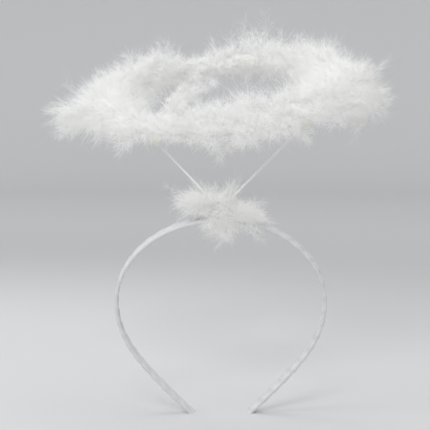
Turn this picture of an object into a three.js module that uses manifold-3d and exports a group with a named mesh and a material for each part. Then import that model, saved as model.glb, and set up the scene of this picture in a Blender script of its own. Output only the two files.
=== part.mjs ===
// Halo headband. A ribbon-wound strip stands on its two cut ends and carries two wire stems,
// which hold a wire hoop covered with marabou feathers. A feather tuft sits on the crown.
// Millimetres. The pieces are built in the upright frame of the strip: X across the head,
// Y to the back, Z up, with Z = 0 at the two ends. The whole is then leaned until it balances.
import * as THREE from "three";
import { mergeVertices } from "three/addons/utils/BufferGeometryUtils.js";
import Module from "manifold-3d";

const wasm = await Module();
wasm.setup();

// Clearance kept between pieces that touch on the real thing
const GAP = 0.3;

// Band: an elliptic crown over the head, and legs that curve in towards the two ends
const BAND_HALF_WIDTH = 63.3;
const CROWN_RISE = 54;
const LEG_DROP = 75;
const END_HALF_SPREAD = 17.8;
const LEG_TOP_PULL = 0.33;
const LEG_END_PULL = { across: 0.79, up: 0.45 };
const STRIP_WIDTH = 7.6;
const STRIP_THICKNESS = 1.6;
const STRIP_EDGE_BEVEL = 0.4;
const CROWN_HEIGHT = LEG_DROP + CROWN_RISE;

// Ribbon wound round the strip: each turn swells towards the edge that lies on the next one
const RIBBON_PITCH = 9;
const RIBBON_STEP = 0.3;
const RIBBON_LAP_SHARE = 0.92;

// Hoop of the halo: its size, where its middle lies from the crown, and how it is tilted
const HOOP_RADIUS = 76;
const HOOP_WIRE = 1.6;
const HOOP_ASIDE = 5;
const HOOP_BEHIND = 57;
const HOOP_ABOVE_CROWN = 59.5;
const HOOP_ROLL_DEG = 5;
const HOOP_PITCH_DEG = 2;

// Stems: wires that cross on the crown, rise to the hoop and end in an eye round it
const STEM_WIRE = 1.2;
const STEM_START_ASIDE = 4;
const STEM_FOOT_LENGTH = 12;

// Drops of glue that fix each stem just under the hoop
const BEAD_RADIUS = 2.1;
const BEAD_LENGTH = 8;
const BEAD_BELOW_HOOP = 3.5;

// Marabou ring: a dense core with tapering locks, whose reach from the hoop is a share of HALO_REACH.
// Angles go round the hoop from its right end (0) by the back (90) to its left end (180).
const HALO_REACH = 31;
const HALO_CORE_SHARE = 0.5;
const HALO_STATIONS = 16;
const HALO_SECTIONS = [
  { at: 0, out: 0.92, into: 0.95, up: 0.82, down: 0.9 },
  { at: 35, out: 0.85, into: 0.8, up: 0.7, down: 0.6 },
  { at: 70, out: 0.8, into: 0.6, up: 0.85, down: 0.45 },
  { at: 95, out: 0.7, into: 0.55, up: 0.45, down: 0.42 },
  { at: 145, out: 0.75, into: 0.6, up: 0.45, down: 0.45 },
  { at: 165, out: 1.05, into: 0.6, up: 0.75, down: 0.7 },
  { at: 185, out: 1.2, into: 0.6, up: 0.8, down: 0.88 },
  { at: 210, out: 1.05, into: 0.6, up: 0.65, down: 0.85 },
  { at: 235, out: 0.85, into: 0.55, up: 0.45, down: 0.38 },
  { at: 280, out: 0.85, into: 0.55, up: 0.42, down: 0.72 },
  { at: 312, out: 0.85, into: 0.6, up: 0.5, down: 0.38 },
  { at: 335, out: 0.88, into: 0.85, up: 0.65, down: 0.75 },
];

// Directions of the locks in the cross-section, from outwards (0) over the top (90) to inwards (180)
const HALO_LOCK_DIRECTIONS = [-10, 62, 140, 218, 298];
const HALO_LOCK_SWAY_DEG = 14;
const HALO_LOCK_LENGTHS = [1.04, 0.84, 0.96, 0.78, 0.92, 1.0, 0.88];
const HALO_LOCK_GIRTH = 0.3;
const HALO_LOCK_SWEEP = 0.28;

// Tuft on the crown: a head that the strip passes through, and its locks.
// Angles are in the plane of the strip from the right (0) over the top (90), forward is towards the front,
// and reach is a share of PUFF_REACH.
const PUFF_REACH = 34;
const PUFF_ABOVE_CROWN = 5;
const PUFF_HEAD = { across: 12, deep: 10, up: 9 };
const PUFF_LOCK_GIRTH = 0.2;
const PUFF_LOCK_SWEEP = 0.08;
const PUFF_LOCKS = [
  { angle: 4, forward: 0.35, reach: 0.95 },
  { angle: -22, forward: 0.3, reach: 1.0 },
  { angle: 12, forward: -0.5, reach: 0.85 },
  { angle: 62, forward: 0.15, reach: 0.62 },
  { angle: 118, forward: -0.3, reach: 0.5 },
  { angle: 154, forward: 0.35, reach: 0.8 },
  { angle: 172, forward: -0.35, reach: 0.96 },
  { angle: 194, forward: 0.45, reach: 0.78 },
  { angle: 222, forward: 0.7, reach: 0.6 },
  { angle: 262, forward: 0.8, reach: 0.82 },
  { angle: 292, forward: 0.75, reach: 0.84 },
  { angle: 250, forward: -0.9, reach: 0.75 },
  { angle: 318, forward: -0.8, reach: 0.75 },
];

// A feather lock as a spindle: girth and distance from its root, as shares of its radius and length
const LOCK_PROFILE = [
  { girth: 0, along: 0 },
  { girth: 1, along: 0.3 },
  { girth: 0.78, along: 0.66 },
  { girth: 0, along: 1 },
];
const LOCK_SIDES = 5;

// Sides of the round wires, and steps round the rings
const WIRE_SIDES = 6;
const EYE_STEPS = 10;
const HOOP_STEPS = 32;
const CORE_SIDES = 8;
const BEAD_SIDES = 8;

// Relative weights of what the pieces are made of, used to find the balance of the whole
const WEIGHT = { feather: 300, steel: 7850, plastic: 1100 };

// Geometry to solid and back, for cuts and joins
function toSolid(geometry) {
  const bare = geometry.clone();
  bare.deleteAttribute("normal");
  bare.deleteAttribute("uv");
  const merged = mergeVertices(bare, 1e-4);
  return new wasm.Manifold(new wasm.Mesh({
    numProp: 3,
    vertProperties: new Float32Array(merged.attributes.position.array),
    triVerts: new Uint32Array(merged.index.array),
  }));
}

function toGeometry(solid) {
  const mesh = solid.getMesh();
  const geometry = new THREE.BufferGeometry();
  geometry.setAttribute("position", new THREE.BufferAttribute(new Float32Array(mesh.vertProperties), 3));
  geometry.setIndex(new THREE.BufferAttribute(new Uint32Array(mesh.triVerts), 1));
  const facets = geometry.toNonIndexed();
  facets.computeVertexNormals();
  return facets;
}

function fuse(geometries) {
  return geometries.map(toSolid).reduce((whole, piece) => whole.add(piece));
}

// Turns a shape that is drawn along +Z to point along a direction, with its +X near a side direction
function aim(geometry, from, direction, side) {
  const z = direction.clone().normalize();
  const x = side.clone().addScaledVector(z, -side.dot(z)).normalize();
  const y = new THREE.Vector3().crossVectors(z, x);
  const placed = new THREE.Matrix4().makeBasis(x, y, z).setPosition(from);
  return geometry.applyMatrix4(placed);
}

function rod(from, to, radius) {
  const along = new THREE.Vector3().subVectors(to, from);
  const side = new THREE.Vector3(0, 1, 0);
  const geometry = new THREE.CylinderGeometry(radius, radius, along.length(), WIRE_SIDES);
  geometry.rotateX(Math.PI / 2).translate(0, 0, along.length() / 2);
  return aim(geometry, from, along, side);
}

// Band
function bandLine() {
  const line = new THREE.Path();
  const pull = new THREE.Vector2(BAND_HALF_WIDTH * LEG_END_PULL.across, LEG_DROP * LEG_END_PULL.up);
  const end = new THREE.Vector2(END_HALF_SPREAD, 0);
  const spare = end.clone().sub(pull).setLength(STRIP_WIDTH).add(end);
  const topPull = LEG_DROP * (1 - LEG_TOP_PULL);
  line.moveTo(-spare.x, spare.y);
  line.lineTo(-end.x, end.y);
  line.bezierCurveTo(-pull.x, pull.y, -BAND_HALF_WIDTH, topPull, -BAND_HALF_WIDTH, LEG_DROP);
  line.absellipse(0, LEG_DROP, BAND_HALF_WIDTH, CROWN_RISE, Math.PI, 0, true);
  line.bezierCurveTo(BAND_HALF_WIDTH, topPull, pull.x, pull.y, end.x, end.y);
  line.lineTo(spare.x, spare.y);
  return line;
}

function bandOutline(grow) {
  const line = bandLine();
  const turns = Math.round(line.getLength() / RIBBON_PITCH);
  const marks = [];
  for (let turn = 0; turn < turns; turn += 1) {
    marks.push({ at: turn / turns, swell: 0 });
    marks.push({ at: (turn + RIBBON_LAP_SHARE) / turns, swell: RIBBON_STEP });
  }
  marks.push({ at: 1, swell: 0 });
  const side = (sign) => marks.map(({ at, swell }) => {
    const point = line.getPoint(at);
    const along = line.getTangent(at);
    const half = sign * (STRIP_THICKNESS / 2 + swell + grow);
    return new THREE.Vector2(point.x - along.y * half, point.y + along.x * half);
  });
  return new THREE.Shape([...side(1), ...side(-1).reverse()]);
}

// The strip as one extrusion through its width; grow makes the larger copy that cuts the room for it
function stripGeometry(grow) {
  const bevel = STRIP_EDGE_BEVEL;
  const width = STRIP_WIDTH + 2 * grow;
  const geometry = new THREE.ExtrudeGeometry(bandOutline(grow), {
    depth: width - 2 * bevel,
    bevelThickness: bevel,
    bevelSize: bevel,
    bevelOffset: -bevel,
    bevelSegments: 1,
    steps: 1,
  });
  return geometry.translate(0, 0, bevel - width / 2).rotateX(Math.PI / 2);
}

// Cuts the two ends along the plane that the leaned band stands on
function standingBand(lean) {
  const room = 4 * BAND_HALF_WIDTH;
  const below = new THREE.BoxGeometry(room, room, LEG_DROP).translate(0, 0, -LEG_DROP / 2).rotateX(-lean);
  return toGeometry(toSolid(stripGeometry(0)).subtract(toSolid(below)));
}

// Halo frame: places a shape that is drawn flat round the origin at the hoop's place
const haloPlace = new THREE.Matrix4()
  .makeRotationFromEuler(new THREE.Euler(
    THREE.MathUtils.degToRad(-HOOP_PITCH_DEG),
    THREE.MathUtils.degToRad(-HOOP_ROLL_DEG),
    0,
  ))
  .setPosition(HOOP_ASIDE, HOOP_BEHIND, CROWN_HEIGHT + HOOP_ABOVE_CROWN);

// Ring drawn flat round the origin, with a round section
function ring(radius, sectionRadius, sectionSides, steps) {
  const profile = [];
  for (let side = 0; side <= sectionSides; side += 1) {
    const turn = (2 * Math.PI * (side % sectionSides)) / sectionSides;
    const [outwards, up] = [sectionRadius * Math.cos(turn), sectionRadius * Math.sin(turn)];
    profile.push(new THREE.Vector2(radius + outwards, up));
  }
  return new THREE.LatheGeometry(profile, steps).rotateX(Math.PI / 2);
}

function hoopGeometry(grow) {
  return ring(HOOP_RADIUS, HOOP_WIRE / 2 + grow, WIRE_SIDES, HOOP_STEPS);
}

// Where a stem meets the hoop: the place on the front half of the hoop that lies over the strip
function hoopMeeting(side) {
  const tilt = THREE.MathUtils.degToRad(HOOP_PITCH_DEG);
  const angle = -Math.PI / 2 + side * Math.acos(HOOP_BEHIND / (HOOP_RADIUS * Math.cos(tilt)));
  const flat = new THREE.Vector3(Math.cos(angle), Math.sin(angle), 0);
  const centre = flat.clone().multiplyScalar(HOOP_RADIUS).applyMatrix4(haloPlace);
  const along = new THREE.Vector3(-flat.y, flat.x, 0).transformDirection(haloPlace);
  return { centre, along };
}

// Stems
const eyeRadius = HOOP_WIRE / 2 + GAP + STEM_WIRE / 2;
const stemOffset = (STEM_WIRE + GAP) / 2;

// The place of a stem's axis where it lies on the crown, at a distance across the head
function onCrown(across, side) {
  const turn = Math.asin(across / BAND_HALF_WIDTH);
  const normal = new THREE.Vector2(Math.sin(turn) / BAND_HALF_WIDTH, Math.cos(turn) / CROWN_RISE).normalize();
  const lift = STRIP_THICKNESS / 2 + RIBBON_STEP + GAP + STEM_WIRE / 2;
  return new THREE.Vector3(
    across + normal.x * lift,
    side * stemOffset,
    LEG_DROP + CROWN_RISE * Math.cos(turn) + normal.y * lift,
  );
}

function stemRoute(side) {
  const meeting = hoopMeeting(side);
  const start = onCrown(-side * STEM_START_ASIDE, side);
  const inwards = new THREE.Vector3().subVectors(start, meeting.centre);
  inwards.addScaledVector(meeting.along, -inwards.dot(meeting.along)).setLength(eyeRadius);
  const top = meeting.centre.clone().add(inwards);
  return { meeting, start, top, rise: new THREE.Vector3().subVectors(top, start) };
}

// The foot of each stem lies along the crown on the far side of the crossing, so the wire opens at its bend
function stemSolid(side, grow) {
  const { meeting, start, top } = stemRoute(side);
  const radius = STEM_WIRE / 2 + grow;
  const footMiddle = onCrown(-side * (STEM_START_ASIDE + STEM_FOOT_LENGTH / 2), side);
  const footEnd = onCrown(-side * (STEM_START_ASIDE + STEM_FOOT_LENGTH), side);
  const eye = new THREE.TorusGeometry(eyeRadius, radius, WIRE_SIDES, EYE_STEPS);
  aim(eye, meeting.centre, meeting.along, new THREE.Vector3(0, 0, 1));
  const bend = new THREE.IcosahedronGeometry(radius, 1).translate(start.x, start.y, start.z);
  const knee = new THREE.IcosahedronGeometry(radius, 1).translate(footMiddle.x, footMiddle.y, footMiddle.z);
  return fuse([
    rod(start, top, radius),
    bend,
    rod(start, footMiddle, radius),
    knee,
    rod(footMiddle, footEnd, radius),
    eye,
  ]);
}

// Beads: a drop of glue round the wire, fat in the middle
function beadGeometry(side) {
  const { top, rise } = stemRoute(side);
  const bore = STEM_WIRE / 2 + GAP;
  const profile = [
    new THREE.Vector2(bore, 0),
    new THREE.Vector2((bore + BEAD_RADIUS) / 2, 0),
    new THREE.Vector2(BEAD_RADIUS, BEAD_LENGTH * 0.3),
    new THREE.Vector2(BEAD_RADIUS, BEAD_LENGTH * 0.62),
    new THREE.Vector2((bore + BEAD_RADIUS) / 2, BEAD_LENGTH),
    new THREE.Vector2(bore, BEAD_LENGTH),
    new THREE.Vector2(bore, 0),
  ];
  const bead = new THREE.LatheGeometry(profile, BEAD_SIDES).rotateX(Math.PI / 2);
  const down = rise.clone().negate().normalize();
  return aim(bead, top.clone().addScaledVector(down, BEAD_BELOW_HOOP), down, new THREE.Vector3(0, 1, 0));
}

function beadRoom(side) {
  const { top, rise } = stemRoute(side);
  const down = rise.clone().negate().normalize();
  const from = top.clone().addScaledVector(down, BEAD_BELOW_HOOP - GAP);
  const to = from.clone().addScaledVector(down, BEAD_LENGTH + 2 * GAP);
  return rod(from, to, (BEAD_RADIUS + GAP) / Math.cos(Math.PI / WIRE_SIDES));
}

// A feather lock: a spindle from its root along a direction, with its tip swept to one side
function lock(root, direction, reach, girth, sweep) {
  const profile = LOCK_PROFILE.map((row) => new THREE.Vector2(row.girth * girth, row.along * reach));
  const spindle = new THREE.LatheGeometry(profile, LOCK_SIDES).rotateX(Math.PI / 2);
  const points = spindle.attributes.position;
  const lean = sweep.length() * reach;
  for (let i = 0; i < points.count; i += 1) {
    const share = points.getZ(i) / reach;
    points.setX(i, points.getX(i) + lean * share * share);
  }
  return aim(spindle, root, direction, sweep);
}

// Marabou ring
function reachOf(row, directionDeg) {
  const turn = THREE.MathUtils.degToRad(directionDeg);
  const across = Math.cos(turn) >= 0 ? row.out : row.into;
  const upright = Math.sin(turn) >= 0 ? row.up : row.down;
  return HALO_REACH / Math.hypot(Math.cos(turn) / across, Math.sin(turn) / upright);
}

function haloSection(angleDeg) {
  const rows = [...HALO_SECTIONS, { ...HALO_SECTIONS[0], at: 360 }];
  const next = rows.findIndex((row) => row.at > angleDeg);
  const [low, high] = [rows[next - 1], rows[next]];
  const share = THREE.MathUtils.smoothstep(angleDeg, low.at, high.at);
  const blend = (name) => THREE.MathUtils.lerp(low[name], high[name], share);
  return { out: blend("out"), into: blend("into"), up: blend("up"), down: blend("down") };
}

// The core is a ring whose section swells and flattens round the hoop as the reach does
function haloCore() {
  const core = ring(HOOP_RADIUS, 1, CORE_SIDES, HOOP_STEPS);
  const points = core.attributes.position;
  for (let i = 0; i < points.count; i += 1) {
    const point = new THREE.Vector3().fromBufferAttribute(points, i);
    const angle = Math.atan2(point.y, point.x);
    const outwards = Math.hypot(point.x, point.y) - HOOP_RADIUS;
    const angleDeg = (THREE.MathUtils.radToDeg(angle) + 360) % 360;
    const directionDeg = THREE.MathUtils.radToDeg(Math.atan2(point.z, outwards));
    const reach = HALO_CORE_SHARE * reachOf(haloSection(angleDeg), directionDeg);
    const radius = HOOP_RADIUS + outwards * reach;
    points.setXYZ(i, radius * Math.cos(angle), radius * Math.sin(angle), point.z * reach);
  }
  return core;
}

function haloLocks() {
  const locks = [];
  for (let station = 0; station < HALO_STATIONS; station += 1) {
    HALO_LOCK_DIRECTIONS.forEach((base, turn) => {
      const angleDeg = (360 * (station + turn / HALO_LOCK_DIRECTIONS.length)) / HALO_STATIONS;
      const swing = (station + turn) % 2 === 0 ? 1 : -1;
      const directionDeg = base + swing * HALO_LOCK_SWAY_DEG;
      const length = HALO_LOCK_LENGTHS[locks.length % HALO_LOCK_LENGTHS.length];
      const reach = length * reachOf(haloSection(angleDeg), directionDeg);
      const angle = THREE.MathUtils.degToRad(angleDeg);
      const direction = THREE.MathUtils.degToRad(directionDeg);
      const outwards = new THREE.Vector3(Math.cos(angle), Math.sin(angle), 0);
      const along = new THREE.Vector3(-Math.sin(angle), Math.cos(angle), 0);
      const pointing = outwards.clone().multiplyScalar(Math.cos(direction)).setZ(Math.sin(direction));
      const root = outwards.multiplyScalar(HOOP_RADIUS);
      const sweep = along.multiplyScalar(swing * HALO_LOCK_SWEEP);
      locks.push(lock(root, pointing, reach, HALO_REACH * HALO_LOCK_GIRTH, sweep));
    });
  }
  return locks;
}

function haloMarabou() {
  const backHome = haloPlace.clone().invert();
  const rooms = [-1, 1].flatMap((side) => [
    stemSolid(side, GAP),
    toSolid(beadRoom(side)),
    toSolid(new THREE.IcosahedronGeometry(eyeRadius + STEM_WIRE, 1)
      .translate(...hoopMeeting(side).centre.toArray())),
  ]);
  const wires = toGeometry(rooms.reduce((whole, piece) => whole.add(piece))).applyMatrix4(backHome);
  const hoopRoom = fuse([hoopGeometry(GAP), wires]);
  const body = fuse([haloCore(), ...haloLocks()]);
  return toGeometry(body.subtract(hoopRoom));
}

// Tuft on the crown
function puffMarabou() {
  const middle = new THREE.Vector3(0, 0, CROWN_HEIGHT + PUFF_ABOVE_CROWN);
  const head = new THREE.SphereGeometry(1, 10, 6)
    .scale(PUFF_HEAD.across, PUFF_HEAD.deep, PUFF_HEAD.up)
    .translate(middle.x, middle.y, middle.z);
  const locks = PUFF_LOCKS.map(({ angle, forward, reach }, index) => {
    const turn = THREE.MathUtils.degToRad(angle);
    const direction = new THREE.Vector3(Math.cos(turn), -forward, Math.sin(turn)).normalize();
    const sweep = new THREE.Vector3(0, index % 2 === 0 ? 1 : -1, -1).setLength(PUFF_LOCK_SWEEP);
    const length = reach * PUFF_REACH;
    return lock(middle, direction, length, PUFF_REACH * PUFF_LOCK_GIRTH, sweep);
  });
  const body = fuse([head, ...locks]);
  return toGeometry(body
    .subtract(toSolid(stripGeometry(GAP)))
    .subtract(stemSolid(-1, GAP))
    .subtract(stemSolid(1, GAP)));
}

// Balance: volume and centre of a closed shape, then the lean that sets the weight over the two ends
function weighed(geometry, density) {
  const flat = geometry.index ? geometry.toNonIndexed() : geometry;
  const points = flat.attributes.position;
  const [a, b, c] = [new THREE.Vector3(), new THREE.Vector3(), new THREE.Vector3()];
  const moment = new THREE.Vector3();
  let volume = 0;
  for (let i = 0; i < points.count; i += 3) {
    a.fromBufferAttribute(points, i);
    b.fromBufferAttribute(points, i + 1);
    c.fromBufferAttribute(points, i + 2);
    const part = a.dot(b.clone().cross(c)) / 6;
    volume += part;
    moment.addScaledVector(a.clone().add(b).add(c), part / 4);
  }
  return { weight: volume * density, moment: moment.multiplyScalar(density) };
}

function balanceLean(loads) {
  const total = new THREE.Vector3();
  loads.forEach(({ moment }) => total.add(moment));
  return Math.atan2(total.y, total.z);
}

const strip = stripGeometry(0);
const stems = { left: toGeometry(stemSolid(-1, 0)), right: toGeometry(stemSolid(1, 0)) };
const beads = { left: beadGeometry(-1), right: beadGeometry(1) };
const hoop = hoopGeometry(0);
const marabou = haloMarabou();
const puff = puffMarabou();

const lean = balanceLean([
  weighed(strip, WEIGHT.plastic),
  weighed(stems.left, WEIGHT.steel),
  weighed(stems.right, WEIGHT.steel),
  weighed(beads.left, WEIGHT.plastic),
  weighed(beads.right, WEIGHT.plastic),
  weighed(hoop.clone().applyMatrix4(haloPlace), WEIGHT.steel),
  weighed(marabou.clone().applyMatrix4(haloPlace), WEIGHT.feather),
  weighed(puff, WEIGHT.feather),
]);

// Materials
function satinRibbon() {
  return new THREE.MeshStandardMaterial({ color: 0xe9e9ea, roughness: 0.45, metalness: 0 });
}

function paintedWire() {
  return new THREE.MeshStandardMaterial({ color: 0xeeeeee, roughness: 0.4, metalness: 0.1 });
}

function marabouDown() {
  return new THREE.MeshStandardMaterial({ color: 0xf3f2f0, roughness: 0.95, metalness: 0 });
}

function driedGlue() {
  return new THREE.MeshStandardMaterial({ color: 0xf0ead8, roughness: 0.3, metalness: 0 });
}

function piece(name, geometry, material) {
  const mesh = new THREE.Mesh(geometry, material);
  mesh.name = name;
  return mesh;
}

const halo = new THREE.Group();
halo.applyMatrix4(haloPlace);
halo.add(piece("hoop", hoop, paintedWire()));
halo.add(piece("halo_marabou", marabou, marabouDown()));

const leaning = new THREE.Group();
leaning.rotation.x = lean;
leaning.add(piece("band", standingBand(lean), satinRibbon()));
leaning.add(piece("stem_left", stems.left, paintedWire()));
leaning.add(piece("stem_right", stems.right, paintedWire()));
leaning.add(piece("glue_bead_left", beads.left, driedGlue()));
leaning.add(piece("glue_bead_right", beads.right, driedGlue()));
leaning.add(piece("puff_marabou", puff, marabouDown()));
leaning.add(halo);

// The origin lies on the floor under the middle of the whole
const group = new THREE.Group();
group.add(leaning);
group.updateMatrixWorld(true);
const extent = new THREE.Box3().setFromObject(group, true);
const middle = extent.getCenter(new THREE.Vector3());
leaning.position.set(-middle.x, -middle.y, -extent.min.z);

export default group;
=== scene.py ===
# %% [markdown]
# # A halo headband
#
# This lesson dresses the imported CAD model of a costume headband: a strip wound with white satin ribbon, two white
# wires, and a ring of marabou down that the wires hold above the head. The CAD gives every size and place. What it
# leaves to Blender is what no solid can show: thousands of fine barbs, the laps of the ribbon, and the finishes.

# %% Load the frame
import math

import bpy
import numpy as np
from mathutils import Matrix, Vector


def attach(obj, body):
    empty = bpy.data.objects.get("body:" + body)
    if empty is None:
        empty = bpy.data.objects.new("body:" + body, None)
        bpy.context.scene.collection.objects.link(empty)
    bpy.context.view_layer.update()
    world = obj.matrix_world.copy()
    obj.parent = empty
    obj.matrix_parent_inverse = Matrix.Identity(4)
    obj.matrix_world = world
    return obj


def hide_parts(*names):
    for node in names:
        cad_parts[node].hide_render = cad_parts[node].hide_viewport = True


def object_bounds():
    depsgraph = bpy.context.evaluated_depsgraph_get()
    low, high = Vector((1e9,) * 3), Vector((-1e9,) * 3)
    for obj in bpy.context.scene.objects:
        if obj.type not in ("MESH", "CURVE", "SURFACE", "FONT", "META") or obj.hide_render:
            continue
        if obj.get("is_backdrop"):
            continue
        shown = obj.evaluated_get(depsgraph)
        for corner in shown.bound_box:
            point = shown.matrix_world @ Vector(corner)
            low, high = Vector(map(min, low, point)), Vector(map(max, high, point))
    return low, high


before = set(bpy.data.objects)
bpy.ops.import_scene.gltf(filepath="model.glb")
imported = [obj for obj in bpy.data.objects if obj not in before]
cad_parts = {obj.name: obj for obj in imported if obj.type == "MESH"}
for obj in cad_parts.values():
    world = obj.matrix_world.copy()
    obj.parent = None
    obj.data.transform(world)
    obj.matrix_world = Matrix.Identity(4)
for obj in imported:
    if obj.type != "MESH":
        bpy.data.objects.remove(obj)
cad_low, cad_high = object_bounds()
bpy.ops.object.select_all(action="DESELECT")
MM = 0.001
print("CAD box in mm:", [round(v / MM, 1) for v in (*cad_low, *cad_high)])

# %% [markdown]
# ## The camera
#
# The picture is a plain product shot: a long lens about a metre away, a little above the headband and tilted slightly
# down. Its place was found by projecting the band, the wires and the halo until they fell on their pixels. A long
# lens keeps the near and far sides of the halo almost the same size, as they are in the picture.

# %% Camera
SENSOR_WIDTH = 36.0
PICTURE_SIDE = 430
FOCAL_PIXELS = 1546
CAMERA_PLACE = (-0.0049, -0.9528, 0.215)
CAMERA_DOWN_DEG = 5.49

bpy.ops.object.camera_add(location=CAMERA_PLACE, rotation=(math.radians(90 - CAMERA_DOWN_DEG), 0, 0))
camera = bpy.context.object
camera.data.sensor_width = SENSOR_WIDTH
camera.data.lens = FOCAL_PIXELS * SENSOR_WIDTH / PICTURE_SIDE
bpy.context.scene.camera = camera
print("lens in mm:", round(camera.data.lens, 1))

# %% [markdown]
# ## Helpers for materials
#
# Colours are written as the hex values that a paint program shows, so one function turns them into the linear numbers
# that the renderer mixes. A second one adds a shader node, sets its values and links it, whatever its kind, so that
# each material below reads as a short list of steps.


# %% Colour and node helpers
def linear(code):
    """An sRGB hex colour such as #F3F2F0 as linear red, green, blue and alpha."""
    parts = [int(code[i:i + 2], 16) / 255 for i in (1, 3, 5)]
    return tuple(c / 12.92 if c <= 0.04045 else ((c + 0.055) / 1.055) ** 2.4 for c in parts) + (1.0,)


def add_node(tree, kind, links=(), **settings):
    """Adds a node; a setting is a property or a socket by name, a link is (socket, other node, its output)."""
    node = tree.nodes.new(kind)
    for name, value in settings.items():
        if hasattr(node, name):
            setattr(node, name, value)
        else:
            node.inputs[name.replace("_", " ")].default_value = value
    for socket, other, output in links:
        tree.links.new(other.outputs[output], node.inputs[socket])
    return node


def new_material(name, **shader):
    """A material with its one shader node; the shader's constant values go on its own sockets."""
    material = bpy.data.materials.new(name)
    material.use_nodes = True
    tree = material.node_tree
    principled = tree.nodes["Principled BSDF"]
    for socket, value in shader.items():
        principled.inputs[socket.replace("_", " ")].default_value = value
    return material, tree, principled


def shade_between(tree, principled, factor_node, output, dark, light):
    """Lets a pattern choose between two close shades of the base colour."""
    ramp = add_node(tree, "ShaderNodeValToRGB", [("Fac", factor_node, output)])
    ramp.color_ramp.elements[0].color = linear(dark)
    ramp.color_ramp.elements[1].color = linear(light)
    tree.links.new(ramp.outputs["Color"], principled.inputs["Base Color"])
    return ramp


# %% [markdown]
# ## Down
#
# Marabou is bleached turkey down. It is keratin without any gloss, and so thin that light goes on through a barb to
# the next ones, which is why a white boa never shows a black shadow. Roughness is near one, and a little sheen stands
# for the light that the fine side hairs catch along the edge. The renderer follows light through only a few barbs, so
# a faint glow of the same white stands for the rest of it. Faint cloudy patches keep it from one flat white.
#
# Deep inside, barbs lie so close that they look like one soft mass. That mass is a plain body, coloured a shade darker
# as painted shade for the depth of the down, with a finish that is streaked like barbs and bumped, so that nothing
# smooth shows between the plumes. It glows a little less than the down, painted light for the light passed on inside.

# %% Marabou down
DOWN_CLOUD_MM = 14

marabou_down, tree, principled = new_material(
    "bleached_marabou_down", Roughness=0.95, Sheen_Weight=0.3, Sheen_Roughness=0.6, Specular_IOR_Level=0.2,
    Emission_Color=linear("#FFFFFD"), Emission_Strength=0.134,
)
coordinates = add_node(tree, "ShaderNodeTexCoord")
cloud = add_node(
    tree, "ShaderNodeTexNoise", [("Vector", coordinates, "Object")], Scale=1 / (DOWN_CLOUD_MM * MM), Detail=2.0,
)
shade_between(tree, principled, cloud, "Fac", "#EFEFED", "#FDFDFC")

# %% Packed down, deep inside, with painted shade and a painted glow
STREAK_MM = 1.2

# painted shade: the streaks run between two greys darker than the down, for the shade deep inside; the faint glow is
# painted light
packed_down_painted_shade, tree, principled = new_material(
    "packed_marabou_down_painted_shade", Roughness=1.0, Specular_IOR_Level=0.1, Emission_Color=linear("#FFFFFD"),
    Emission_Strength=0.105,
)
coordinates = add_node(tree, "ShaderNodeTexCoord")
streaks = add_node(
    tree, "ShaderNodeTexNoise", [("Vector", coordinates, "Object")], Scale=1 / (STREAK_MM * MM), Detail=4.0,
    Distortion=1.5,
)
shade_between(tree, principled, streaks, "Fac", "#D2D1CF", "#EBEAE8")
bump = add_node(tree, "ShaderNodeBump", [("Height", streaks, "Fac")], Strength=0.8, Distance=0.6 * MM)
tree.links.new(bump.outputs["Normal"], principled.inputs["Normal"])

# %% [markdown]
# ## Satin ribbon
#
# The ribbon is woven polyester satin, wound round the strip. Satin floats long threads over the cloth, which gives a
# soft streak of light along each turn and hardly any weave. Real threads are about 0.1 mm apart, too fine to show, so
# the ribs are drawn at 0.5 mm. The colour is a cool white that photographs light grey, darker than the down.

# %% Satin ribbon
RIB_MM = 0.5
RIBS_PER_SCALE = 0.314  # a wave texture at scale 1 repeats every 0.314 units
RIBBON_CLOUD_MM = 9

satin_ribbon, tree, principled = new_material(
    "woven_polyester_satin", Roughness=0.42, Sheen_Weight=0.25, Sheen_Roughness=0.4,
)
coordinates = add_node(tree, "ShaderNodeTexCoord")
cloud = add_node(
    tree, "ShaderNodeTexNoise", [("Vector", coordinates, "Object")], Scale=1 / (RIBBON_CLOUD_MM * MM), Detail=3.0,
)
shade_between(tree, principled, cloud, "Fac", "#C7C8CB", "#D5D6D8")
ribs = add_node(
    tree, "ShaderNodeTexWave", [("Vector", coordinates, "Object")], bands_direction="Y",
    Scale=RIBS_PER_SCALE / (RIB_MM * MM), Distortion=1.5,
)
bump = add_node(tree, "ShaderNodeBump", [("Height", ribs, "Fac")], Strength=0.12, Distance=0.1 * MM)
tree.links.new(bump.outputs["Normal"], principled.inputs["Normal"])

# %% [markdown]
# ## Enamelled wire and dried glue
#
# The wires are steel dipped in white enamel: smooth, a little glossy, with slow waves where the paint ran. The drops
# where they meet the hoop are hot glue, cream, cloudy and smoother than anything else here.

# %% Wire enamel
PAINT_WAVE_MM = 3

wire_enamel, tree, principled = new_material(
    "dipped_white_enamel", Roughness=0.35, Coat_Weight=0.2, Coat_Roughness=0.15,
)
coordinates = add_node(tree, "ShaderNodeTexCoord")
waves = add_node(
    tree, "ShaderNodeTexNoise", [("Vector", coordinates, "Object")], Scale=1 / (PAINT_WAVE_MM * MM), Detail=1.0,
)
shade_between(tree, principled, waves, "Fac", "#E8E8E6", "#F2F2F0")
bump = add_node(tree, "ShaderNodeBump", [("Height", waves, "Fac")], Strength=0.2, Distance=0.1 * MM)
tree.links.new(bump.outputs["Normal"], principled.inputs["Normal"])

# %% Dried glue
GLUE_CLOUD_MM = 1.5

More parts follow.
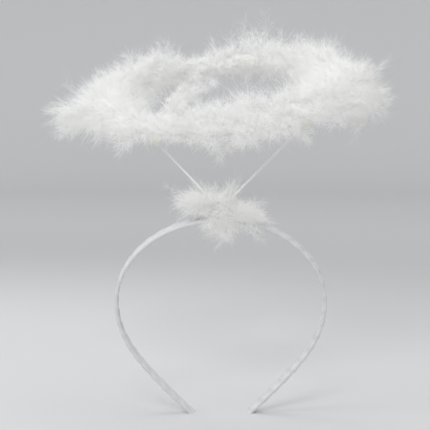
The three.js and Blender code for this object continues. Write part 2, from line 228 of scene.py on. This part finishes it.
dried_glue, tree, principled = new_material(
    "dried_hot_glue", Roughness=0.3, Subsurface_Weight=0.2, Subsurface_Radius=(1.0, 0.9, 0.7),
    Subsurface_Scale=1 * MM,
)
coordinates = add_node(tree, "ShaderNodeTexCoord")
lumps = add_node(
    tree, "ShaderNodeTexNoise", [("Vector", coordinates, "Object")], Scale=1 / (GLUE_CLOUD_MM * MM), Detail=2.0,
)
shade_between(tree, principled, lumps, "Fac", "#E9DFC6", "#F6F0DF")
bump = add_node(tree, "ShaderNodeBump", [("Height", lumps, "Fac")], Strength=0.4, Distance=0.3 * MM)
tree.links.new(bump.outputs["Normal"], principled.inputs["Normal"])

# %% Finish the CAD nodes that keep their shape
KEPT_NODES = {
    "stem_left": wire_enamel, "stem_right": wire_enamel, "hoop": wire_enamel,
    "glue_bead_left": dried_glue, "glue_bead_right": dried_glue,
}
for node_name, finish in KEPT_NODES.items():
    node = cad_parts[node_name]
    node.data.materials.clear()
    node.data.materials.append(finish)
print("nodes that stay:", ", ".join(KEPT_NODES))

# %% [markdown]
# ## The line of the band
#
# The strip follows one flat curve: two legs that bow out from the cut ends, and half an ellipse over the crown. A
# Bezier curve is added and six cuts are made in it, and then its points and handles get the sizes of the CAD. It is
# drawn lying flat, because a deform along a flat curve never twists, and it is stood up and leaned at the end.

# %% Band line
BAND_HALF_WIDTH = 63.3 * MM
CROWN_RISE = 54 * MM
LEG_DROP = 75 * MM
END_HALF_SPREAD = 17.8 * MM
LEG_TOP_PULL = 0.33
LEG_END_PULL = (0.79, 0.45)
STRIP_WIDTH = 7.6 * MM
STRIP_THICKNESS = 1.6 * MM
ROUND_HANDLE = 0.5523

end = Vector((END_HALF_SPREAD, 0, 0))
end_pull = Vector((BAND_HALF_WIDTH * LEG_END_PULL[0], LEG_DROP * LEG_END_PULL[1], 0))
spare = end + (end - end_pull).normalized() * STRIP_WIDTH
side = Vector((BAND_HALF_WIDTH, LEG_DROP, 0))
side_below = Vector((BAND_HALF_WIDTH, LEG_DROP * (1 - LEG_TOP_PULL), 0))
side_above = Vector((BAND_HALF_WIDTH, LEG_DROP + CROWN_RISE * ROUND_HANDLE, 0))
crown = Vector((0, LEG_DROP + CROWN_RISE, 0))
crown_reach = Vector((BAND_HALF_WIDTH * ROUND_HANDLE, 0, 0))


def mirrored(point):
    """The same point on the left leg."""
    return Vector((-point.x, point.y, point.z))


right_leg = [(side_above, side, side_below), (end_pull, end, spare), (end.lerp(spare, 0.7), spare, spare)]
line_points = [tuple(map(mirrored, reversed(point))) for point in reversed(right_leg)]
line_points += [(crown - crown_reach, crown, crown + crown_reach), *right_leg]

bpy.ops.curve.primitive_bezier_curve_add()
band_line = bpy.context.object
bpy.ops.object.mode_set(mode="EDIT")
bpy.ops.curve.select_all(action="SELECT")
bpy.ops.curve.subdivide(number_cuts=len(line_points) - 2)
bpy.ops.object.mode_set(mode="OBJECT")
for bezier_point, (before, middle, after) in zip(band_line.data.splines[0].bezier_points, line_points):
    bezier_point.handle_left_type = bezier_point.handle_right_type = "FREE"
    bezier_point.handle_left, bezier_point.co, bezier_point.handle_right = before, middle, after
band_line.data.resolution_u = 40
band_line.data.twist_mode = "Z_UP"
line_length = band_line.data.splines[0].calc_length()
print("band line in mm:", round(line_length / MM, 1))

# %% [markdown]
# ## One turn of ribbon
#
# The ribbon goes round the strip in turns 9 mm apart, and each turn lies on the edge of the one before. So one turn is
# a short flat sleeve, a little thicker at its lap, and its lap runs slantwise over the broad faces. It starts as a
# box of the strip's section, its long edges are rounded with a bevel, and bisect cuts give it rings to bend and
# swell at.

# %% Ribbon turn
RIBBON_PITCH = 9 * MM
LAP_SWELL = 0.4 * MM
LAP_RISE = {0.3: 0.35, 0.6: 0.75, 0.93: 1.0}  # share of the turn: share of the swell
LAP_SLANT = 1.6 * MM
EDGE_ROUND = 0.6 * MM

turns = round(line_length / RIBBON_PITCH)
pitch = line_length / turns
bpy.ops.mesh.primitive_cube_add(size=1, location=(pitch / 2, 0, 0))
band = bpy.context.object
band.name = "band_ribbon"
band.scale = (pitch, STRIP_THICKNESS, STRIP_WIDTH)
bpy.ops.object.transform_apply(location=True, rotation=False, scale=True)


def pick(test, kind="VERT"):
    """In edit mode: selects the vertices or edges whose places pass a test, and nothing else."""
    bpy.ops.mesh.select_all(action="DESELECT")
    bpy.ops.mesh.select_mode(type=kind)
    bpy.ops.object.mode_set(mode="OBJECT")
    mesh = bpy.context.object.data
    if kind == "VERT":
        for vertex in mesh.vertices:
            vertex.select = bool(test(vertex.co))
    if kind == "EDGE":
        for edge in mesh.edges:
            edge.select = bool(test(*(mesh.vertices[i].co for i in edge.vertices)))
    if kind == "FACE":
        for face in mesh.polygons:
            face.select = bool(test(face.center, face.normal))
    bpy.ops.object.mode_set(mode="EDIT")


bpy.ops.object.mode_set(mode="EDIT")
pick(lambda a, b: abs(a.x - b.x) > pitch / 2, "EDGE")
bpy.ops.mesh.bevel(offset=EDGE_ROUND, segments=3, affect="EDGES")
for share in LAP_RISE:
    bpy.ops.mesh.select_all(action="SELECT")
    bpy.ops.mesh.bisect(plane_co=(pitch * share, 0, 0), plane_no=(1, 0, 0))

# %% Swell the lap and slant it
for share, swell in LAP_RISE.items():
    pick(lambda co: abs(co.x - pitch * share) < 1e-6)
    bpy.ops.transform.resize(
        value=(1, 1 + 2 * LAP_SWELL * swell / STRIP_THICKNESS, 1 + LAP_SWELL * swell / STRIP_WIDTH),
        center_override=(pitch * share, 0, 0),
    )
for facing in (-1, 1):
    pick(lambda co: co.z * facing > STRIP_WIDTH / 4)
    bpy.ops.transform.translate(value=(facing * LAP_SLANT, 0, 0))
pick(lambda centre, normal: abs(normal.x) > 0.9 and min(abs(centre.x), abs(centre.x - pitch)) < 1e-6, "FACE")
bpy.ops.mesh.delete(type="FACE")
bpy.ops.object.mode_set(mode="OBJECT")
print("turns:", turns, "pitch in mm:", round(pitch / MM, 2), "faces in one:", len(band.data.polygons))

# %% [markdown]
# ## Wind the band
#
# An Array repeats the turn and merges each end with the next start, and a Curve modifier lays the row along the
# line. Both are applied, and the strip is stood up, leaned forward as it stands, and cut flat where it meets the
# floor. The cuts are filled, because a real strip is solid at its ends.

# %% Array, curve and stand up
LEAN = math.radians(15.23)
FEET_MIDDLE = Vector((-1.458, -2.822, 0)) * MM

array = band.modifiers.new("turns", "ARRAY")
array.count = turns
array.use_relative_offset = False
array.use_constant_offset = True
array.constant_offset_displace = (pitch, 0, 0)
array.use_merge_vertices = True
array.merge_threshold = 0.02 * MM
follow = band.modifiers.new("line", "CURVE")
follow.object = band_line
follow.deform_axis = "POS_X"
bpy.ops.object.select_all(action="DESELECT")
band.select_set(True)
bpy.context.view_layer.objects.active = band
bpy.ops.object.modifier_apply(modifier="turns")
bpy.ops.object.modifier_apply(modifier="line")
upright = Matrix(((1, 0, 0), (0, -math.sin(LEAN), math.cos(LEAN)), (0, math.cos(LEAN), math.sin(LEAN))))
band.data.transform(Matrix.Translation(FEET_MIDDLE) @ upright.to_4x4())
bpy.data.objects.remove(band_line)
bpy.ops.object.mode_set(mode="EDIT")
bpy.ops.mesh.select_all(action="SELECT")
bpy.ops.mesh.bisect(plane_co=(0, 0, 0), plane_no=(0, 0, 1), clear_inner=True, use_fill=True)
bpy.ops.mesh.select_all(action="SELECT")
bpy.ops.mesh.normals_make_consistent(inside=False)
bpy.ops.object.mode_set(mode="OBJECT")
bpy.ops.object.shade_smooth_by_angle(angle=math.radians(40))
band.data.materials.append(satin_ribbon)
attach(band, "root")
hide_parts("band")
print("band faces:", len(band.data.polygons), "size in mm:", [round(v / MM, 1) for v in band.dimensions])

# %% [markdown]
# ## Where the down grows
#
# The CAD marabou is a core with stiff locks, and its surface says how far the down reaches at each place. The ring is
# read from the hoop: its centre, its plane and its radius. Each point of the CAD marabou then has an angle round the
# hoop, a direction round the wire and a distance, and the reach at any place is the furthest point near it, less
# where that point is further off. So the plumes fill the outline of the solid.
#
# A second table shapes it as the feathers lie in the picture, where the ring is fuller at both ends, its front is
# flat below, and its back leaves the hole open. Each row is a soft swelling or hollow at one place of the ring.


# %% Ring frame and reach
def node_points(name):
    """The vertices of a CAD node as an array."""
    return np.array([vertex.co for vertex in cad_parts[name].data.vertices])


def unit(vectors):
    """Vectors at length one."""
    return vectors / np.linalg.norm(vectors, axis=-1, keepdims=True)


hoop_points = node_points("hoop")
ring_centre = hoop_points.mean(axis=0)
ring_up = np.linalg.svd(hoop_points - ring_centre, full_matrices=False)[2][2]
ring_up = ring_up * np.sign(ring_up[2])
ring_right = unit(np.array([1, 0, 0]) - ring_up * ring_up[0])
ring_back = np.cross(ring_up, ring_right)
ring_radius = np.linalg.norm(hoop_points - ring_centre, axis=1).mean()


def ring_place(points):
    """Angle round the hoop, direction round the wire and distance from the wire, for each point."""
    right, back, up = ((points - ring_centre) @ axis for axis in (ring_right, ring_back, ring_up))
    out = np.hypot(right, back) - ring_radius
    return np.arctan2(back, right), np.arctan2(up, out), np.hypot(up, out)


def on_ring(angle, direction, distance):
    """The points at these angles, directions and distances."""
    radial = np.cos(angle)[:, None] * ring_right + np.sin(angle)[:, None] * ring_back
    out = (ring_radius + np.cos(direction) * distance)[:, None]
    return ring_centre + radial * out + ring_up * (np.sin(direction) * distance)[:, None]


down_angle, down_direction, down_distance = ring_place(node_points("halo_marabou"))
print("ring radius in mm:", round(ring_radius / MM, 1), "furthest down in mm:", round(down_distance.max() / MM, 1))

NEAR_ALONG = math.radians(20)
NEAR_AROUND = math.radians(70)
SWELL_ALONG = math.radians(24)
SWELL_AROUND = math.radians(55)
SHORTEST = 4 * MM
LONGEST = 29 * MM
SWELLS = (  # degrees round the hoop (0 right, 90 back), degrees round the wire (0 out, 90 up), longer by mm
    (62, 75, 10), (96, 80, -3), (122, 80, 8), (140, 85, 7),  # the back, above
    (80, 225, -13), (55, 225, -6), (110, 225, -8),  # the back, below and towards the hole
    (284, 110, 12), (262, 110, 7),  # the front, above
    (302, 270, -26), (322, 270, -17), (265, 270, -13), (238, 270, -25), (208, 270, -23),  # the front, below
    (25, 20, -12), (348, 325, 5), (185, 320, 2),  # the two ends, outside
    (195, 170, 12), (345, 170, 15), (15, 170, 14),  # the two ends, towards the hole
    (0, 90, 3), (315, 110, 14), (38, 225, 8),  # round the right end
    (90, 180, 4), (130, 180, 4),  # the back, towards the hole
    (262, 0, 4), (300, 0, 4), (222, 0, 3),  # the front, outside
)


def turned(angles):
    """Angles brought to the nearest way round, between minus pi and pi."""
    return (angles + math.pi) % (2 * math.pi) - math.pi


def halo_reach(angle, direction):
    """How far the CAD marabou reaches from the hoop near each angle and direction."""
    along = turned(angle[:, None] - down_angle[None]) / NEAR_ALONG
    around = turned(direction[:, None] - down_direction[None]) / NEAR_AROUND
    reach = (down_distance * np.exp(-along ** 2 - around ** 2)).max(axis=1)
    for swell_angle, swell_direction, longer in SWELLS:
        along = turned(angle - math.radians(swell_angle)) / SWELL_ALONG
        around = turned(direction - math.radians(swell_direction)) / SWELL_AROUND
        reach += longer * MM * np.exp(-along ** 2 - around ** 2)
    return np.clip(reach, SHORTEST, LONGEST)


# %% [markdown]
# ## A strand
#
# A plume is a curved shaft with soft barbs on it, and both are thin tapering strands. There are over a hundred
# thousand, far too many for operators, so this one function makes them all at once: each strand is a three-sided rod
# that comes to a point at both ends, so it is closed and a barb takes only six triangles. Real barbs are under
# 0.05 mm thick; they are drawn at about 0.1 mm, so that fewer of them fill the same space.


# %% Strand maker
SIDES = 3


def strand_mesh(lines, radius, shares):
    """Vertices and triangles of rods pointed at both ends; lines holds one row of points for each rod."""
    count, steps, _ = lines.shape
    along = unit(np.gradient(lines, axis=1))[:, 1:-1]
    beside = unit(np.cross(along, np.array([0.31, 0.17, 0.93])))
    over = np.cross(along, beside)
    turn = np.arange(SIDES) * 2 * math.pi / SIDES
    spokes = np.cos(turn)[:, None] * beside[:, :, None] + np.sin(turn)[:, None] * over[:, :, None]
    rings = lines[:, 1:-1, None] + (radius[:, None] * shares)[:, :, None, None] * spokes
    vertices = np.concatenate([rings.reshape(count, -1, 3), lines[:, :1], lines[:, -1:]], axis=1)
    last, root = (steps - 3) * SIDES, (steps - 2) * SIDES
    faces = []
    for a, b in ((0, 1), (1, 2), (2, 0)):
        faces += [(b, a, root), (last + a, last + b, root + 1)]
        for ring in range(0, last, SIDES):
            faces += [(ring + a, ring + b, ring + SIDES + b), (ring + a, ring + SIDES + b, ring + SIDES + a)]
    starts = np.arange(count)[:, None, None] * vertices.shape[1]
    return vertices.reshape(-1, 3), (np.array(faces)[None] + starts).reshape(-1, 3)


def down_piece(name, parts, node_name):
    """One mesh object of the strands in parts, with its finish, that rides on the body and stands for a node."""
    vertices, faces, first = [], [], 0
    for part_vertices, part_faces in parts:
        vertices.append(part_vertices)
        faces.append(part_faces + first)
        first += len(part_vertices)
    vertices, faces = np.concatenate(vertices), np.concatenate(faces)
    mesh = bpy.data.meshes.new(name)
    mesh.vertices.add(len(vertices))
    mesh.vertices.foreach_set("co", vertices.astype(np.float32).ravel())
    mesh.loops.add(faces.size)
    mesh.loops.foreach_set("vertex_index", faces.astype(np.int32).ravel())
    mesh.polygons.add(len(faces))
    mesh.polygons.foreach_set("loop_start", np.arange(0, faces.size, 3, dtype=np.int32))
    mesh.update(calc_edges=True)
    mesh.materials.append(marabou_down)
    piece = bpy.data.objects.new(name, mesh)
    bpy.context.scene.collection.objects.link(piece)
    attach(piece, "root")
    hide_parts(node_name)
    print(name, "triangles:", len(faces))
    return piece


# %% [markdown]
# ## A plume
#
# Marabou plumes are soft from root to tip. The shaft bends to one side and droops a little, and the barbs stand off it
# on all sides. Towards the tip they are shorter, much thinner and lean further forward, so the edge of the down fades
# away, and each one curls strongly its own way, which keeps a plume from looking like a bottle brush. All plumes of a
# piece are worked out together, as rows of an array, and the shares along a strand say how thick it is at each of its
# inner points.

# %% Plume maker
BARBS = 96
BARB_LENGTH = 8 * MM
BARB_RADIUS = 0.08 * MM
SHAFT_RADIUS = 0.1 * MM
ROOT_GIRTH, GIRTH_LOSS = 1.45, 1.15  # of a barb, in shares of BARB_RADIUS
ROOT_LEAN_DEG, LEAN_LOSS_DEG, LEAN_SPREAD_DEG = 82, 27, 18  # how far a barb stands off the shaft
CURL = 1.3  # how far the tip of a barb may curl along each axis, in shares of its length
BARB_SHARES = np.array([1.0])
SHAFT_SHARES = np.array([1, 0.7, 0.3])
DOWNWARD = np.array([0, 0, -1])


def plumes(rng, roots, directions, sideways, lengths, barb_length=BARB_LENGTH):
    """Shafts from roots along directions, bent sideways, with their barbs; returns two strand meshes."""
    count = len(roots)
    droop = rng.uniform(0.02, 0.2, (count, 1))

    def on_shaft(share):
        """Points at shares of each shaft, one row for each plume."""
        t = share[..., None]
        bend = sideways[:, None] * t ** 2 + DOWNWARD * droop[:, None] * t ** 2
        return roots[:, None] + (directions[:, None] * t + bend) * lengths[:, None, None]

    shafts = on_shaft(np.tile(np.linspace(0, 1, len(SHAFT_SHARES) + 2), (count, 1)))
    share = 0.1 + 0.88 * ((np.arange(BARBS) + rng.random((count, BARBS))) / BARBS) ** 0.85
    places = on_shaft(share)
    heading = unit(on_shaft(share + 0.02) - places)
    across = unit(np.cross(heading, np.array([0.2, 0.35, 0.9])))
    above = np.cross(heading, across)
    roll = rng.uniform(0, 2 * math.pi, (count, BARBS))[..., None]
    lean = ROOT_LEAN_DEG - LEAN_LOSS_DEG * share + rng.normal(0, LEAN_SPREAD_DEG, share.shape)
    lean = np.radians(lean)[..., None]
    outward = np.cos(roll) * across + np.sin(roll) * above
    barb = np.cos(lean) * heading + np.sin(lean) * outward
    reach = (np.reshape(barb_length, (-1, 1)) * (1 - 0.4 * share) * rng.uniform(0.4, 1.15, share.shape))[..., None]
    curl = heading * 0.3 - outward * 0.2 + rng.uniform(-CURL, CURL, barb.shape) + DOWNWARD * 0.15
    steps = np.linspace(0, 1, len(BARB_SHARES) + 2)
    lines = np.stack([places + reach * (barb * t + curl * t * t) for t in steps], 2)
    radius = (BARB_RADIUS * (ROOT_GIRTH - GIRTH_LOSS * share) * rng.uniform(0.7, 1.2, share.shape)).ravel()
    return [
        strand_mesh(shafts, np.full(count, SHAFT_RADIUS), SHAFT_SHARES),
        strand_mesh(lines.reshape(count * BARBS, len(steps), 3), radius, BARB_SHARES),
    ]


# %% [markdown]
# ## The body of the halo
#
# Deep inside, the feathers are packed so tightly that no barb can be told from the next. That part is one soft body: a
# torus is added at the place of the hoop, each of its points is moved out to a share of the reach, and a Displace
# modifier with a cloud texture gives it the lumps that the bunches make.

# %% Halo body
BODY_SHARE = 0.3
BODY_LUMP_MM = 11
BODY_LUMP_HEIGHT = 3 * MM

ring_turn = Matrix((ring_right, ring_back, ring_up)).transposed()
bpy.ops.mesh.primitive_torus_add(
    location=ring_centre, rotation=ring_turn.to_euler(), major_segments=144, minor_segments=36,
    major_radius=ring_radius, minor_radius=5 * MM,
)
halo_body = bpy.context.object
halo_body.name = "halo_body"
bpy.ops.object.transform_apply(location=True, rotation=True, scale=True)


def moved_points(piece, move):
    """Runs the points of a piece through a function and puts them back."""
    points = np.empty(len(piece.data.vertices) * 3)
    piece.data.vertices.foreach_get("co", points)
    piece.data.vertices.foreach_set("co", move(points.reshape(-1, 3)).ravel())
    piece.data.update()


def halo_body_points(points):
    """Moves points round the hoop to a share of how far the down reaches there."""
    angle, direction, _ = ring_place(points)
    return on_ring(angle, direction, BODY_SHARE * halo_reach(angle, direction))


moved_points(halo_body, halo_body_points)
lumps = bpy.data.textures.new("down_lumps", "CLOUDS")
lumps.noise_scale = BODY_LUMP_MM * MM
swell = halo_body.modifiers.new("lumps", "DISPLACE")
swell.texture = lumps
swell.strength = BODY_LUMP_HEIGHT
bpy.ops.object.modifier_apply(modifier="lumps")
bpy.ops.object.shade_smooth()
halo_body.data.materials.append(packed_down_painted_shade)
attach(halo_body, "root")
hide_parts("halo_marabou")
print("halo body faces:", len(halo_body.data.polygons))

# %% [markdown]
# ## The plumes of the halo
#
# The feathers are tied round the hoop on all sides. Their places are spread evenly round the hoop and round the wire
# and then shaken a little, so no gap and no row shows. Six pieces, one for each part of the ring, keep each mesh small.

# %% Halo plumes
RING_PARTS = 6
PART_PLUMES = 222
FULL_REACH = 22 * MM
GOLDEN = (math.sqrt(5) - 1) / 2

rng = np.random.default_rng(7)
for part in range(RING_PARTS):
    row = np.arange(PART_PLUMES)
    angle = (part + (row + rng.random(PART_PLUMES)) / PART_PLUMES) * 2 * math.pi / RING_PARTS
    direction = 2 * math.pi * (row * GOLDEN % 1) + rng.normal(0, 0.15, PART_PLUMES)
    reach = halo_reach(angle, direction)
    roots = on_ring(angle, direction, BODY_SHARE * reach * rng.uniform(0.5, 1.0, PART_PLUMES))
    outwards = unit(on_ring(angle, direction, reach) - on_ring(angle, direction, reach * 0))
    sideways = rng.normal(0, 0.4, (PART_PLUMES, 3))
    lengths = reach * rng.uniform(0.3, 0.74, PART_PLUMES)
    barb_length = BARB_LENGTH * np.clip(reach / FULL_REACH, 0.35, 1.15)
    parts = plumes(rng, roots, unit(outwards - 0.5 * sideways), sideways, lengths, barb_length)
    down_piece(f"halo_down_{part + 1}", parts, "halo_marabou")

# %% [markdown]
# ## Bunches placed one by one
#
# Some feathers have slipped out of the ring: a broad wisp lies across its hole, thick bunches end it left and right,
# and thin ones hang from its lower side. Each row of the table is such a bunch, and a bunch is a handful of plumes
# that start close together and point nearly the same way. The tuft on the crown is made of such bunches too.


# %% Bunch maker
def bunch_plumes(rng, starts, ways, reaches, spreads, counts, barb_length):
    """Plumes in bunches: start, way, reach, spread in degrees and number of plumes for each bunch."""
    row = np.repeat(np.arange(len(counts)), counts)
    scatter = rng.normal(0, 1, (len(row), 3)) * np.tan(np.radians(spreads))[row, None]
    directions = unit(unit(np.array(ways, dtype=float))[row] + scatter)
    reach = np.array(reaches)[row] * MM
    roots = starts[row] + (directions + scatter) * (reach * rng.uniform(0.05, 0.3, len(row)))[:, None]
    lengths = reach * rng.uniform(0.35, 0.7, len(row))
    sideways = rng.normal(0, 0.12, roots.shape)
    return plumes(rng, roots, directions, sideways, lengths, barb_length)


# %% Stray bunches
STRAY_BARB_LENGTH = 5 * MM
STRAYS = (  # degrees round the hoop, start from the wire (out, up) in mm, way, reach in mm, spread, plumes
    (232, (-6, 4), (0.74, 0.33, 0.64), 48, 3, 14),  # the wisp across the hole
    (235, (-6, 4), (0.7, 0.33, 0.7), 48, 3, 14),
    (179, (8, -2), (-1.0, -0.1, -0.2), 34, 11, 18),  # the left end
    (187, (8, -3), (-1.0, -0.2, -0.26), 29, 11, 16),
    (352, (8, -4), (1.0, -0.1, -0.3), 18, 12, 10),  # the right end
    (192, (-8, 0), (1.0, 0.1, 0.15), 24, 13, 14),  # into the hole, from the left
    (102, (-6, 0), (0.0, -0.4, -0.9), 16, 20, 7),  # under the back
    (300, (2, -4), (0.75, -0.2, -0.6), 18, 8, 3),  # under the front
    (280, (2, -4), (-0.1, 0.0, -1.0), 11, 12, 3),
    (219, (4, -4), (-0.1, 0.0, -1.0), 15, 12, 4),
    (335, (8, -6), (0.15, 0.0, -1.0), 15, 12, 5),
    (264, (2, -4), (-0.2, 0.0, -1.0), 13, 18, 5),
    (356, (-8, 3), (-1.0, -0.1, 0.1), 22, 14, 10),  # into the hole, from the right
)

stray_angles, from_wire, ways, reaches, spreads, counts = zip(*STRAYS)
out, up = np.array(from_wire).T * MM
stray_starts = on_ring(np.radians(stray_angles), np.arctan2(up, out), np.hypot(out, up))
parts = bunch_plumes(rng, stray_starts, ways, reaches, spreads, counts, STRAY_BARB_LENGTH)
down_piece("halo_down_strays", parts, "halo_marabou")

# %% [markdown]
# ## The tuft on the crown
#
# A small bunch of the same down hides the place where the wires start. It is no ball: its plumes lie in a few lobes,
# a long one to each side over the ribbon, one that hangs in front of the strip and a short one that stands up. Each
# lobe is a row of the table, in the directions that the locks of the CAD have, and a small body fills the middle.

# %% Tuft body
TUFT_MIDDLE = np.array([-0.5, -38.2, 127.2]) * MM
TUFT_BODY_SHARE = 0.26
TUFT_NEAR = math.radians(17)

tuft_points = node_points("puff_marabou") - TUFT_MIDDLE
tuft_distance = np.linalg.norm(tuft_points, axis=1)


def tuft_body_points(points):
    """Moves points round the middle of the tuft to a share of how far the CAD tuft reaches there."""
    directions = unit(points - TUFT_MIDDLE)
    apart = np.arccos(np.clip(directions @ unit(tuft_points).T, -1, 1)) / TUFT_NEAR
    reach = (tuft_distance * np.exp(-apart ** 2)).max(axis=1)
    return TUFT_MIDDLE + directions * (TUFT_BODY_SHARE * reach)[:, None]


bpy.ops.mesh.primitive_ico_sphere_add(subdivisions=5, radius=5 * MM, location=TUFT_MIDDLE)
tuft_body = bpy.context.object
tuft_body.name = "tuft_body"
bpy.ops.object.transform_apply(location=True, rotation=True, scale=True)
moved_points(tuft_body, tuft_body_points)
bpy.ops.object.shade_smooth()
tuft_body.data.materials.append(packed_down_painted_shade)
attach(tuft_body, "root")
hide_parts("puff_marabou")

# %% Tuft plumes
TUFT_BARB_LENGTH = 6 * MM
TUFT_KNOT = np.array([0, 0, 3.5]) * MM
TUFT_LOBES = (  # which way (right, back, up), reach in mm, spread in degrees, plumes
    ((-1.0, -0.1, 0.36), 36, 5, 22), ((-1.0, -0.15, 0.16), 30, 5, 14),  # left
    ((-0.8, -0.5, 0.9), 30, 8, 4),
    ((1.0, -0.15, -0.04), 31, 5, 20), ((1.0, -0.1, -0.32), 32, 6, 22),  # right
    ((0.42, -0.1, 0.9), 25, 4, 8),  # the one that stands up
    ((0.07, -0.3, -1.0), 23, 10, 11), ((0.6, -0.2, -0.75), 16, 9, 5), ((-0.75, -0.4, -0.6), 19, 9, 9),  # hanging
    ((0.0, -1.0, 0.3), 9, 25, 10), ((-0.2, -0.1, 1.0), 10, 14, 6),  # the middle, in front and above
    ((-0.9, 0.5, 0.35), 24, 12, 10), ((0.9, 0.5, 0.0), 26, 12, 10),  # behind
    ((0.0, 1.0, 0.0), 13, 35, 14), ((0.0, 0.6, -0.8), 20, 14, 8),
)

ways, reaches, spreads, counts = zip(*TUFT_LOBES)
tuft_starts = np.tile(TUFT_MIDDLE + TUFT_KNOT, (len(TUFT_LOBES), 1))
parts = bunch_plumes(rng, tuft_starts, ways, reaches, spreads, counts, TUFT_BARB_LENGTH)
down_piece("tuft_down", parts, "puff_marabou")

# %% [markdown]
# ## The studio
#
# The picture has a pale floor that fades into a slightly darker backdrop with no edge. A wide round floor whose rim
# curves up into a wall gives that from every side. Its paint is palest round a spot left of the object and greyest
# about a metre away: a painted pool of light and painted falloff, which draws the soft change of tone where the picture
# has it.

# %% Floor and wall
FLOOR_RADIUS = 2.3
WALL_HEIGHT = 1.1
RIM_ROUND = 0.6

bpy.ops.mesh.primitive_circle_add(vertices=96, radius=FLOOR_RADIUS, fill_type="NGON")
studio = bpy.context.object
studio.name = "studio_floor"
bpy.ops.object.mode_set(mode="EDIT")
bpy.ops.mesh.select_all(action="SELECT")
bpy.ops.mesh.extrude_region_move(TRANSFORM_OT_translate={"value": (0, 0, WALL_HEIGHT)})
bpy.ops.mesh.delete(type="FACE")
pick(lambda a, b: max(a.z, b.z) < 1e-6 and a.length > FLOOR_RADIUS / 2, "EDGE")
bpy.ops.mesh.bevel(offset=RIM_ROUND, segments=12, affect="EDGES")
bpy.ops.mesh.select_all(action="SELECT")
bpy.ops.mesh.normals_make_consistent(inside=True)
bpy.ops.object.mode_set(mode="OBJECT")
bpy.ops.object.shade_smooth()
studio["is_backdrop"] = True
print("studio faces:", len(studio.data.polygons))

# %% Studio paint, graded as painted light
PAINTED_LIGHT_SPOT = (-0.3, -0.1, 0.0)
# distance from the spot of painted light in metres, shade painted there
PAINTED_LIGHT_SHADES = ((0.4, "#D0D0D1"), (0.95, "#BABABB"), (1.37, "#C1C1C2"), (1.65, "#C3C3C4"), (2.35, "#C6C6C7"))

studio_painted_light, tree, principled = new_material("studio_wall_painted_light", Roughness=0.9, Specular_IOR_Level=0.2)
coordinates = add_node(tree, "ShaderNodeTexCoord")
away = add_node(tree, "ShaderNodeVectorMath", [(0, coordinates, "Object")], operation="SUBTRACT")
away.inputs[1].default_value = PAINTED_LIGHT_SPOT
distance = add_node(tree, "ShaderNodeVectorMath", [(0, away, "Vector")], operation="LENGTH")
grade = add_node(tree, "ShaderNodeMath", [(0, distance, "Value")], operation="DIVIDE")
grade.inputs[1].default_value = PAINTED_LIGHT_SHADES[-1][0]
# painted light: the ramp makes the paint palest near the spot and greyer further off, in place of light falling off
# over floor and wall
ramp = shade_between(tree, principled, grade, "Value", PAINTED_LIGHT_SHADES[0][1], PAINTED_LIGHT_SHADES[-1][1])
ramp.color_ramp.interpolation = "EASE"
ramp.color_ramp.elements[0].position = PAINTED_LIGHT_SHADES[0][0] / PAINTED_LIGHT_SHADES[-1][0]
for radius, shade in PAINTED_LIGHT_SHADES[1:-1]:
    ramp.color_ramp.elements.new(radius / PAINTED_LIGHT_SHADES[-1][0]).color = linear(shade)
studio.data.materials.append(studio_painted_light)

# %% [markdown]
# ## Light
#
# The shadows at the feet are short and soft and there is one on each side, so soft lights stand left and right in
# front and one hangs above. The down and the ribbon are as bright in front as on top, so a strong one further off
# looks in over the front wall. The backdrop is a little paler at its left, where a weak one shines past the object, and
# an even pale surround fills in the rest.

# %% Lights
LIGHTS = (  # name, place in metres, side in metres, power in watts
    ("soft_left", (-1.3, -0.7, 1.0), 0.8, 5),
    ("soft_right", (1.3, -0.5, 1.3), 0.8, 1),
    ("soft_top", (0.0, 0.1, 1.9), 1.0, 3.5),
    ("soft_front", (-0.5, -3.2, 2.0), 1.0, 55),
    ("soft_wall", (-1.4, 1.0, 0.9), 0.8, 2.5),
)
for light_name, place, size, power in LIGHTS:
    bpy.ops.object.light_add(type="AREA", location=place)
    light = bpy.context.object
    light.name = light_name
    light.data.size = size
    light.data.energy = power
    aim = Vector((0, 0, 0.12)) - Vector(place)
    light.rotation_euler = aim.to_track_quat("-Z", "Y").to_euler()
    light.visible_camera = False

world = bpy.data.worlds.new("studio_surround")
bpy.context.scene.world = world
world.use_nodes = True
world.node_tree.nodes["Background"].inputs["Color"].default_value = linear("#F4F5F6")
world.node_tree.nodes["Background"].inputs["Strength"].default_value = 0.86
bpy.context.scene.view_settings.view_transform = "Standard"

# %% Print the sizes and finish
visual_low, visual_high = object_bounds()
growth = [round((a - b) / MM, 1) for a, b in zip((*visual_low, *visual_high), (*cad_low, *cad_high))]
print("visual box less CAD box in mm:", growth)
